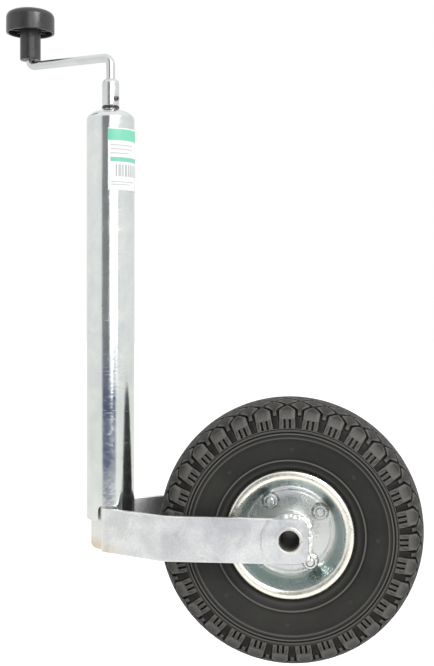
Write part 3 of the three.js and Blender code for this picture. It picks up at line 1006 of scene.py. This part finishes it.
def fork_arm(side, end):
    """One arm: a flat bar swept along its route, with a hole for the axle, and its weld beads."""
    low, high = corners("fork_arm_" + end)
    shape = bmesh.new()
    rows = []
    route = arm_route(high.x)
    for i, (point, plan_angle) in enumerate(route):
        dip = 0.0
        past = point.x - (high.x - ARM_CORNER)
        if past > 0:
            dip = ARM_CORNER - math.sqrt(max(0, ARM_CORNER ** 2 - past * past))
        pinch = 0.5 if i in (0, len(route) - 1) else 0.0
        out = Vector((-sin(plan_angle), cos(plan_angle)))
        row = []
        for across, z in arm_section(
                point.x, plan_angle, low.z + dip + pinch, high.z - dip - pinch, pinch):
            spot = point + out * across
            row.append(shape.verts.new((spot.x, side * spot.y, z)))
        rows.append(row)
    join_rows(shape, rows)
    shape.faces.new(rows[0])
    shape.faces.new(rows[-1])
    mesh = to_mesh("arm_" + end, facing_out(shape))
    centre = (AXLE.x, side * ARM_LINE_Y, AXLE.z)
    hole = turned([(0, -12), (11.5, -12), (11.5, 12), (0, 12)], centre, "Y", 64)
    mesh = cut_away(mesh, to_mesh("axle_hole", hole))
    place("arm_" + end, mesh, "leg", ARM_ZINC, ["fork_arm_" + end])
    beads = to_mesh("welds_" + end, arm_welds(side, low, high))
    place("welds_" + end, beads, "leg", BEAD_ZINC)


def lumpy(size, seed):
    """A weld bead's radius: overlapping ripples with a little unevenness."""

    def radius(walked, a):
        ripple = abs(sin(walked * 0.72)) * 0.12
        uneven = 0.6 * noise((walked * 0.3 + seed, cos(a) * 0.8, sin(a) * 0.8))
        return size * (0.9 + ripple + uneven)

    return radius


def arm_welds(side, low, high):
    """The beads that hold one arm: to the leg at its near end, and round its far end."""
    along = Vector((cos(SPLAY), sin(SPLAY)))
    out = Vector((-sin(SPLAY), cos(SPLAY)))
    start = along * 7.0 + out * 20.3
    upright = [(start.x, side * start.y, low.z + 3), (start.x, side * start.y, high.z - 3)]
    tail = along * 13.5 + out * 17.9
    inner = [(tail.x, side * tail.y, low.z + 5), (tail.x, side * tail.y, high.z - 5)]
    y = side * 51.0
    corner_x = high.x - ARM_CORNER

    def bead_corner(height, turns):
        """The bead's middle round a corner of the arm's end."""
        return [(corner_x + (ARM_CORNER + 0.9) * cos(a), y, height + (ARM_CORNER + 0.6) * sin(a))
                for a in turns]

    edge = [(AXLE.x - 6, y, high.z - 0.4), (corner_x, y, high.z + 0.2)]
    edge += bead_corner(high.z - ARM_CORNER, [pi / 2 - pi / 2 * k / 8 for k in range(1, 8)])
    edge += [(high.x + 1.1, y, AXLE.z), (high.x + 0.9, y, low.z + ARM_CORNER)]
    edge += bead_corner(low.z + ARM_CORNER, [-pi / 2 * k / 8 for k in range(1, 6)])
    seed = 3 if side < 0 else 11
    return merged(
        swept(spaced(upright, 0.5), lumpy(1.25, seed), 14),
        swept(spaced(inner, 0.5), lumpy(1.5, seed + 5), 14),
        swept(spaced(edge, 0.5), lumpy(3.0, seed + 9), 18),
    )


leg_tube()
fork_arm(-1, "front")
fork_arm(1, "rear")


def axle():
    """A tube whose ends are flared over the arms, with a nick at each side of each lip."""
    low, high = corners("axle_tube")
    bore = 9.2
    body = 11.3
    lip = (high.x - low.x) / 2
    arm = 57.9
    end = high.y
    nick_x = 10.9
    profile = filleted([
        (bore + 1.2, -end, 0.5), (lip - 0.4, -end, 0.6), (lip, -arm, 0.4), (body, -arm, 0.3),
        (body, arm, 0.3), (lip, arm, 0.4), (lip - 0.4, end, 0.6), (bore + 1.2, end, 0.5),
        (bore, end - 2.5, 1.5), (bore, 2.5 - end, 1.5),
    ], steps=4)

    def inside(spot):
        """Painted shade in the bore and in the nicks."""
        r = math.hypot(spot.x - AXLE.x, spot.z - AXLE.z)
        return 0.85 if r < bore + 0.5 or (abs(spot.z - AXLE.z) < 1.25 and r < lip - 0.3) else 0.0

    mesh = to_mesh("axle_pipe", turned(profile, AXLE, "Y", 96), inside)
    for y in (low.y, high.y):
        for way in (-1, 1):
            middle = Vector((AXLE.x + way * nick_x, y, AXLE.z))
            reach = Vector((2.2, 1.3, 1.1))
            nick = box_shape(middle - reach, middle + reach, 0.3)
            # The cut faces of each nick take full painted shade.
            mesh = cut_away(mesh, to_mesh("nick", nick, lambda spot: 1.0))
    place("axle_pipe", mesh, "leg", BEAD_ZINC, ["axle_tube"])


def ring_on_axle(name, node, inner, body, finish, edge=0.5, segments=96):
    """A plain turned ring about the axle, as big as its CAD node."""
    low, high = corners(node)
    profile = ring_profile(inner, (high.x - low.x) / 2, low.y, high.y, edge)
    mesh = to_mesh(name, turned(profile, AXLE, "Y", segments))
    return place(name, mesh, body, finish, [node])


axle()
for end in ("front", "rear"):
    ring_on_axle("arm_washer_" + end, "side_washer_" + end, 11.6, "leg", ARM_ZINC)
    ring_on_axle("axle_spacer_" + end, "spacer_" + end, 11.6, "leg", NYLON)
ring_on_axle("hub_pipe", "hub_barrel", 15.5, "wheel", ARM_ZINC)


def bush(end, side):
    """A nylon bush with a flange at its outer end."""
    bore = 11.6
    body = 15.2
    flange = 17.7
    profile = [(r, side * y) for r, y in (
        (bore, 18.0), (body, 18.0), (body, 38.3), (flange, 38.3), (flange, 40.3), (bore, 40.3))]
    mesh = to_mesh("hub_bush_" + end, turned(filleted(profile, 0.4), AXLE, "Y", 96))
    place("hub_bush_" + end, mesh, "wheel", NYLON, ["bush_" + end])


bush("front", -1)
bush("rear", 1)


# ---- wheel: rim halves and their bolts ----
def rim_half(name, node, disc_y, flange_y):
    """A pressed half: flat disc with a coined ring, dish wall, bead seat and rolled lip."""
    way = 1 if flange_y > disc_y else -1
    deep = flange_y - disc_y
    line = filleted([
        (19, disc_y), (20.5, disc_y + way * 0.2), (22, disc_y), (38.6, disc_y, 0.3),
        (39.3, disc_y + way * 0.45, 0.3), (40, disc_y, 0.3), (42.5, disc_y, 1),
        (45.6, disc_y + way * 1.6, 2), (46.6, disc_y + way * 4, 2), (51, disc_y + deep * 0.62, 3),
        (52.2, disc_y + deep * 0.8, 2), (53.6, disc_y + deep * 0.95, 2), (57.3, flange_y, 2),
        (60.8, flange_y - way * 0.7, 1.5), (61.4, flange_y - way * 3.2),
    ], 0.5, steps=5, closed=False)
    mesh = to_mesh(name, turned(sheet_profile(line, 2), AXLE, "Y", 160))
    place(name, mesh, "wheel", RIM_ZINC, [node])


rim_half("rim_half_front", "rim_front", -11, -34)
rim_half("rim_half_rear", "rim_rear", -8.7, 34)

HEX_R = 7.5


def hexagon(low, high, bore, chamfers, segments=48):
    """A nut or a bolt's head about the Y axis at the bolt circle, its corners turned off."""
    flat = HEX_R * cos(pi / 6)
    depth = 0.9
    ends = [flat - 0.25 if chamfered else HEX_R for chamfered in chamfers]
    centre = (BOLT_CIRCLE, 0, 0)
    shape = bmesh.new()

    def six_sided(limit):
        return lambda a: min(flat / cos((a + pi / 6) % (pi / 3) - pi / 6), limit)

    outside = [(six_sided(ends[0]), low), (six_sided(HEX_R), low + depth),
               (six_sided(HEX_R), high - depth), (six_sided(ends[1]), high)]
    inside = [(bore + 0.7, high), (bore, high - 0.7), (bore, low + 0.7), (bore + 0.7, low)]
    rows = [ring_of_points(shape, r, y, segments, centre, "Y") for r, y in outside + inside]
    join_rows(shape, rows, looped=True)
    return facing_out(shape)


def nut_bore_shade(spot):
    """Painted shade in the countersink round the bolt and where the nut sits on the rim."""
    far = math.hypot(spot.x - BOLT_CIRCLE, spot.z)
    return 1.0 if far < 4.5 else 0.0


def rim_bolts():
    """Four nuts in front and four bolts from behind."""
    nut_low, nut_high = corners("rim_nut_1")
    bolt_low, bolt_high = corners("rim_bolt_1")
    nut = hexagon(nut_low.y, nut_high.y, 4.1, (True, True))
    nuts = set_round("nuts", nut, 4, BOLT_START, AXLE, (0.0, -1.0, 0.0), STEEL, nut_bore_shade)
    place("nuts", nuts, "wheel", STEEL, [f"rim_nut_{i}" for i in range(1, 5)])
    crest = 3.95
    root = 3.4
    pitch = 1.25
    thread_end = -12
    thread = [(0, bolt_low.y), (2.9, bolt_low.y), (3.6, bolt_low.y + 0.7)]
    y = bolt_low.y + 0.9
    while y < thread_end:
        thread += [(crest, y), (crest, y + 0.2), (root, y + 0.6), (root, y + 0.7)]
        y += pitch
    head = bolt_high.y - 5.3
    crown = bolt_high.y - 0.6
    thread += [(crest, thread_end + 0.2), (crest, head), (5.2, head), (6.2, crown), (0, crown)]
    shank = turned(thread, (BOLT_CIRCLE, 0, 0), "Y", 32)
    hex_head = hexagon(head, bolt_high.y, 5.6, (False, True))
    unit = merged(shank, hex_head)
    bolts = set_round("bolts", unit, 4, BOLT_START, AXLE, (0.0, -1.0, 0.0), STEEL)
    place("bolts", bolts, "wheel", STEEL, [f"rim_bolt_{i}" for i in range(1, 5)])


rim_bolts()


# ---- tyre ----
TYRE_R = (corners("tyre")[1].x - corners("tyre")[0].x) / 2
PITCHES = 31
PITCH = 2 * pi * TYRE_R / PITCHES
TREAD_START = radians(91.2)
SECTION = [(128.6, -15), (130, 0), (128.6, 15), (124.5, 28), (117, 37), (106, 41.4),
           (98, 42.4), (92, 42.5), (84, 41.4)]


def tyre_section():
    """The tyre's outline from its crown out, as rows of distance, radius, Y and direction."""
    rows = []
    for i in range(1, len(SECTION) - 2):
        p = [np.array(SECTION[i + j], float) for j in (-1, 0, 1, 2)]
        for k in range(12):
            t = k / 12
            rows.append(0.5 * (
                2 * p[1] + (p[2] - p[0]) * t + (2 * p[0] - 5 * p[1] + 4 * p[2] - p[3]) * t * t
                + (3 * p[1] - p[0] - 3 * p[2] + p[3]) * t ** 3))
    rows = np.array(rows)
    steps = np.hypot(*np.diff(rows, axis=0).T)
    walked = np.concatenate([[0], np.cumsum(steps)])
    slope = np.gradient(rows, walked, axis=0)
    slope /= np.hypot(slope[:, 0], slope[:, 1])[:, None]
    return walked, rows[:, 0], rows[:, 1], slope[:, 1], -slope[:, 0]


WALKED, OUT_R, OUT_Y, NORMAL_R, NORMAL_Y = tyre_section()


def on_section(across, lift):
    """Radius and Y at a distance from the crown's middle, lifted off the tyre's outline."""
    far = abs(across)
    r, y, nr, ny = (float(np.interp(far, WALKED, row))
                    for row in (OUT_R, OUT_Y, NORMAL_R, NORMAL_Y))
    side = 1 if across >= 0 else -1
    return r + lift * nr, side * (y + lift * ny)


def groove_shade(centre):
    """Painted shade that thickens with depth under the tyre's outline, for a tyre about that
    centre.
    """

    def extra_shade(spot):
        r = math.hypot(spot.x - centre.x, spot.z - centre.z)
        far = np.hypot(OUT_R - r, OUT_Y - abs(spot.y))
        nearest = int(np.argmin(far))
        if WALKED[nearest] > SHOULDER_END or far[nearest] > 6:
            return 0.0
        return min(1, max(0, float(far[nearest]) - 0.25) / 0.7)

    return extra_shade


def on_tyre(round_by, across, lift):
    """A place at a distance round the tyre and a distance across it."""
    r, y = on_section(across, lift)
    a = round_by / TYRE_R
    return Vector((r * cos(a), y, r * sin(a)))


SHOULDER_END = float(np.interp(-104.2, -OUT_R, WALKED))


def floor_depth(across):
    """How far the groove's floor lies under the tyre's outline, as a lift."""
    return -3.2 + 1.0 * min(1, max(0, (across - 30) / 20))


def carcass():
    """The tyre under its tread: groove floor, ribbed shoulder, sidewall, bead and inside."""
    half = [on_section(s, floor_depth(s)) for s in np.linspace(0, SHOULDER_END - 0.2, 34)]
    half += [on_section(SHOULDER_END + 0.5, -0.35)]
    for r, lift in (
        (103.3, -0.2), (103.0, -0.9), (102.6, -0.9), (102.2, 0.1), (101.4, 0.2), (100.8, 0.1),
        (100.3, -0.8), (99.2, -0.7), (98.7, -0.1), (97.9, 0), (97.3, -0.6), (95.5, -0.6),
        (94, -0.65), (93.4, -1.0), (92.8, -1.4), (90.5, -1.5),
    ):
        half.append(on_section(float(np.interp(-r, -OUT_R, WALKED)), lift))
    half += [
        (88, 40.7), (84, 39.9), (80, 38.9), (76, 37.8), (73.4, 36.8), (72.8, 37.1), (71.8, 36.9),
        (71.2, 35.8), (68.4, 34.4), (66, 33), (64.6, 31.6), (63.4, 30.5), (60, 29.9), (54.4, 29),
        (53.6, 27), (53.6, 19),
    ]
    inside = [(60, 21), (70, 31), (85, 36.5), (101, 36), (113, 29), (119.5, 15)]
    outline = [(r, -y) for r, y in half[:0:-1]] + half
    lining = inside + [(121.5, 0)] + [(r, -y) for r, y in inside[::-1]]
    mesh = to_mesh("tyre_body", turned(outline + lining, AXLE, "Y", PITCHES * 6),
                   groove_shade(AXLE))
    place("tyre_body", mesh, "wheel", TYRE_RUBBER, ["tyre"])


def tread_block(rows, middle=0.0, columns=4, top=0.0, side=1):
    """One block from rows of (across, left, right): a curved top, a rounded edge, sloped walls."""
    shape = bmesh.new()
    grid = []
    for across, left, right in rows:
        grid.append([
            (middle + left + (right - left) * k / columns, across) for k in range(columns + 1)])
    rim = grid[0][:-1] + [row[-1] for row in grid[:-1]] + grid[-1][:0:-1] + [
        row[0] for row in grid[:0:-1]]
    centre = Vector((sum(p[0] for p in rim), sum(p[1] for p in rim))) / len(rim)
    points = {}

    def top_point(spot):
        if spot not in points:
            points[spot] = shape.verts.new(on_tyre(spot[0], side * spot[1], top))
        return points[spot]

    for lower, upper in zip(grid, grid[1:]):
        for k in range(columns):
            around = [top_point(lower[k]), top_point(lower[k + 1]),
                      top_point(upper[k + 1]), top_point(upper[k])]
            around = list(dict.fromkeys(around))
            if len(around) > 2:
                shape.faces.new(around)
    rim = list(dict.fromkeys(rim))
    previous = [points[spot] for spot in rim]
    for grow, drop in ((0.28, 0.12), (0.42, 0.45), (0.75, 3.6)):
        ring = []
        for spot in rim:
            away = (Vector(spot) - centre).normalized() * grow
            across = min(max(spot[1] + away.y, 0.0) if rows[0][0] > 0 else spot[1] + away.y,
                         SHOULDER_END + 0.4)
            depth = top - min(drop, -floor_depth(abs(across)) + 0.4 + top)
            ring.append(shape.verts.new(on_tyre(spot[0] + away.x, side * across, depth)))
        join_rings(shape, previous, ring)
        previous = ring
    shape.faces.new(previous)
    return facing_out(shape)


ROW = 9.2


def diamond(centre):
    """Rows for a block that is a diamond, seen from outside the tyre."""
    half_long = PITCH / 2 - 2.9
    half_wide = ROW - 2.1
    rows = []
    for k in range(7):
        t = k / 3 - 1
        width = max(0.25, half_long * (1 - abs(t)))
        rows.append((centre + half_wide * t, -width, width))
    return rows


def tread_pitch():
    """One pitch of the pattern, both shoulders: diamonds, stemmed diamonds, gabled combs."""
    blocks = [tread_block(diamond(0), 0)]
    half = PITCH / 2
    for side in (-1, 1):
        blocks.append(tread_block(diamond(ROW), half, side=side))
        blocks.append(tread_block(diamond(2 * ROW), 0, side=side))
        stem = [(19.9, -0.25, 0.25), (22.9, -3.8, 3.8), (26.4, -7.8, 7.8), (27.8, -9.1, 9.1),
                (31.0, -5.5, 5.5), (34.2, -2.1, 2.1), (35.2, -1.7, 1.7), (41.2, -1.7, 1.7)]
        blocks.append(tread_block(stem, half, side=side))
        gable = [(29.3, -0.25, 0.25), (30.8, -2.2, 2.2), (33.6, -5.6, 5.6), (35.2, -7.5, 7.5),
                 (35.9, -7.9, 7.9), (45.4, -8.4, 8.4)]
        blocks.append(tread_block(gable, 0, side=side))
        for left, right in ((-8.8, -4.6), (-1.4, 1.4), (4.6, 8.8)):
            leg = [(45.2, left * 0.96, right * 0.96), (49.5, left, right),
                   (SHOULDER_END - 0.1, left * 1.04, right * 1.04)]
            blocks.append(tread_block(leg, 0, columns=2, side=side))
        tab = [(42.8, -2.9, 2.9), (48, -3.2, 3.2), (SHOULDER_END - 0.3, -3.5, 3.5)]
        blocks.append(tread_block(tab, half, columns=2, top=-0.9, side=side))
    return merged(*blocks)


def tread():
    """The pattern, set round the tyre once for each pitch."""
    mesh = set_round(
        "tread_blocks", tread_pitch(), PITCHES, TREAD_START, AXLE, (0.0, -1.0, 0.0), LIT_TREAD_RUBBER,
        groove_shade(Vector()))
    place("tread_blocks", mesh, "wheel", LIT_TREAD_RUBBER)


def vent_pips():
    """Moulding pips on both sidewalls: a small ring with a dot in it."""
    unit = []
    for side in (-1, 1):
        spot = (83.5, side * 39.6, 0)
        ring = filleted([(1.5, -0.6 * side), (1.9, -0.6 * side), (1.9, 0.55 * side),
                         (1.5, 0.55 * side)], 0.12, 2)
        dot = [(0, -0.6 * side), (0.55, -0.6 * side), (0.5, 0.6 * side), (0, 0.75 * side)]
        unit += [turned(ring, spot, "Y", 20), turned(dot, spot, "Y", 12)]
    mesh = set_round(
        "vent_pips", merged(*unit), 8, radians(-1.5), AXLE, (0.0, -1.0, 0.0), TYRE_RUBBER)
    place("vent_pips", mesh, "wheel", TYRE_RUBBER)


carcass()
tread()
vent_pips()


def air_tube():
    """A thin tube of rubber round the rim, its section almost closed."""
    middle = 89
    slit = 0.06
    line = []
    for k in range(41):
        a = pi + slit + (2 * pi - 2 * slit) * k / 40
        line.append((middle + 28 * cos(a), 31 * sin(a)))
    mesh = to_mesh("inner_air_tube", turned(sheet_profile(line, 2), AXLE, "Y", 96))
    place("inner_air_tube", mesh, "wheel", TUBE_RUBBER, ["air_tube"])


def valve():
    """A rubber valve through the rim, its cap towards the axle."""
    low, high = corners("valve_stem")
    base = AXLE + Vector((0, (low.y + high.y) / 2, 0))
    stem = filleted([(0, 38, 0), (2.6, 38, 0.2), (2.6, 44, 0.5), (4.3, 46, 0.8), (4.3, 58.6, 0.5),
                     (0, 58.6, 0)])
    body = to_mesh("valve_body", turned(stem, base, "Z", 32))
    place("valve_body", body, "wheel", TUBE_RUBBER, ["valve_stem"])
    cap = [(0, 28.2)]
    cap += filleted([(3.2, 28, 0.3), (4.2, 29, 0.3), (4.5, 37.4, 0.3), (3.4, 37.7, 0.2)])
    cap += [(0, 37.7)]
    cap_mesh = to_mesh("valve_top", turned(cap, base, "Z", 24))
    place("valve_top", cap_mesh, "wheel", KNOB_PLASTIC, ["valve_cap"])


air_tube()
valve()


# ---- floor, light and camera ----
TRAVEL_ROOM = 0.24  # the leg winds out this far below its rest place


def floor():
    """A floor below the reach of the leg: plain white to the camera.

    Reflected and bounced light sees a slate patch on it, ahead of the jack.
    """
    shape = bmesh.new()
    bmesh.ops.create_grid(shape, x_segments=6, y_segments=6, size=12)
    for vert in shape.verts:
        vert.co.z = cad_box[0][2] - TRAVEL_ROOM
    mesh = bpy.data.meshes.new("floor")
    shape.to_mesh(mesh)
    shape.free()
    finish = Finish("floor_paint")
    x, y, z = finish.axes()
    bearing = calc("ARCTAN2", x, -1 * y)
    patch = bearing.ramp(-0.54, -0.46) * (1 - bearing.ramp(0.56, 0.68)) * (-1 * y).ramp(1.88, 2.1)
    seen = finish.node("ShaderNodeLightPath", out="Is Camera Ray")
    shade = finish.mix(patch, (0.86, 0.86, 0.84), (0.09, 0.105, 0.20))
    mesh.materials.append(finish.done(
        Base_Color=finish.mix(seen, shade, (0.5, 0.5, 0.5)), Roughness=0.9,
        Emission_Color=finish.mix(seen, (0, 0, 0), (0.72, 0.72, 0.72)),
        Emission_Strength=1.0, Specular_IOR_Level=0.0))
    new_object("floor", mesh)


def studio():
    """A surround, plain white to the camera, and a soft key lamp.

    Reflected and bounced light sees a bright panel behind the camera, a brighter strip in it and
    a dark gap next to it. Each pair is a bearing in degrees and a brightness.
    """
    bearings = [
        (-180, 0.86), (-60, 0.96), (-33, 0.94), (-29, 0.3), (4, 0.24), (8, 1.7), (15, 1.7),
        (16, 6.5), (19.5, 6.5), (20.5, 1.7), (44, 1.7), (48, 0.82), (58, 0.98), (180, 0.86)]
    stops = [(degrees / 360 + 0.5, (level, level * 1.005, level, 1)) for degrees, level in bearings]
    world = bpy.data.worlds.new("studio")
    bpy.context.scene.world = world
    world.use_nodes = True
    tree = Tree(world.node_tree)
    x, y, z = tree.split(tree.node("ShaderNodeTexCoord", out="Generated"))
    bearing = calc("ARCTAN2", x, -1 * y) / (2 * pi) + 0.5
    panels = tree.node("ShaderNodeValToRGB", {"stops": stops}, {0: bearing})
    light = tree.mix(z.ramp(0.45, 0.8), panels, (1.1, 1.1, 1.1))
    light = tree.mix(tree.node("ShaderNodeLightPath", out="Is Camera Ray"), light, (1, 1, 1))
    connect(tree.tree, light, tree.tree.nodes["Background"].inputs["Color"])
    lamp = bpy.data.lights.new("key", "AREA")
    lamp.shape = "RECTANGLE"
    lamp.size = 0.4
    lamp.size_y = 0.4
    lamp.energy = 12
    key = new_object("key", lamp)
    key.location = (0.9, -0.9, 0.9)
    aim = Vector((0.15, 0, -0.15)) - key.location
    key.rotation_euler = aim.to_track_quat("-Z", "Y").to_euler()


def camera():
    """A level camera about a metre ahead of the jack, turned a little to its left."""
    lens = bpy.data.cameras.new("camera")
    lens.lens = 56.56
    lens.sensor_width = 36
    lens.shift_y = -0.0586
    lens.clip_start = 0.05
    eye = new_object("camera", lens)
    eye.location = (0.2069, -1.040, 0.0247)
    eye.rotation_euler = (pi / 2, 0, radians(5.45))
    bpy.context.scene.camera = eye


floor()
studio()
camera()
bpy.context.scene.view_settings.view_transform = "Standard"
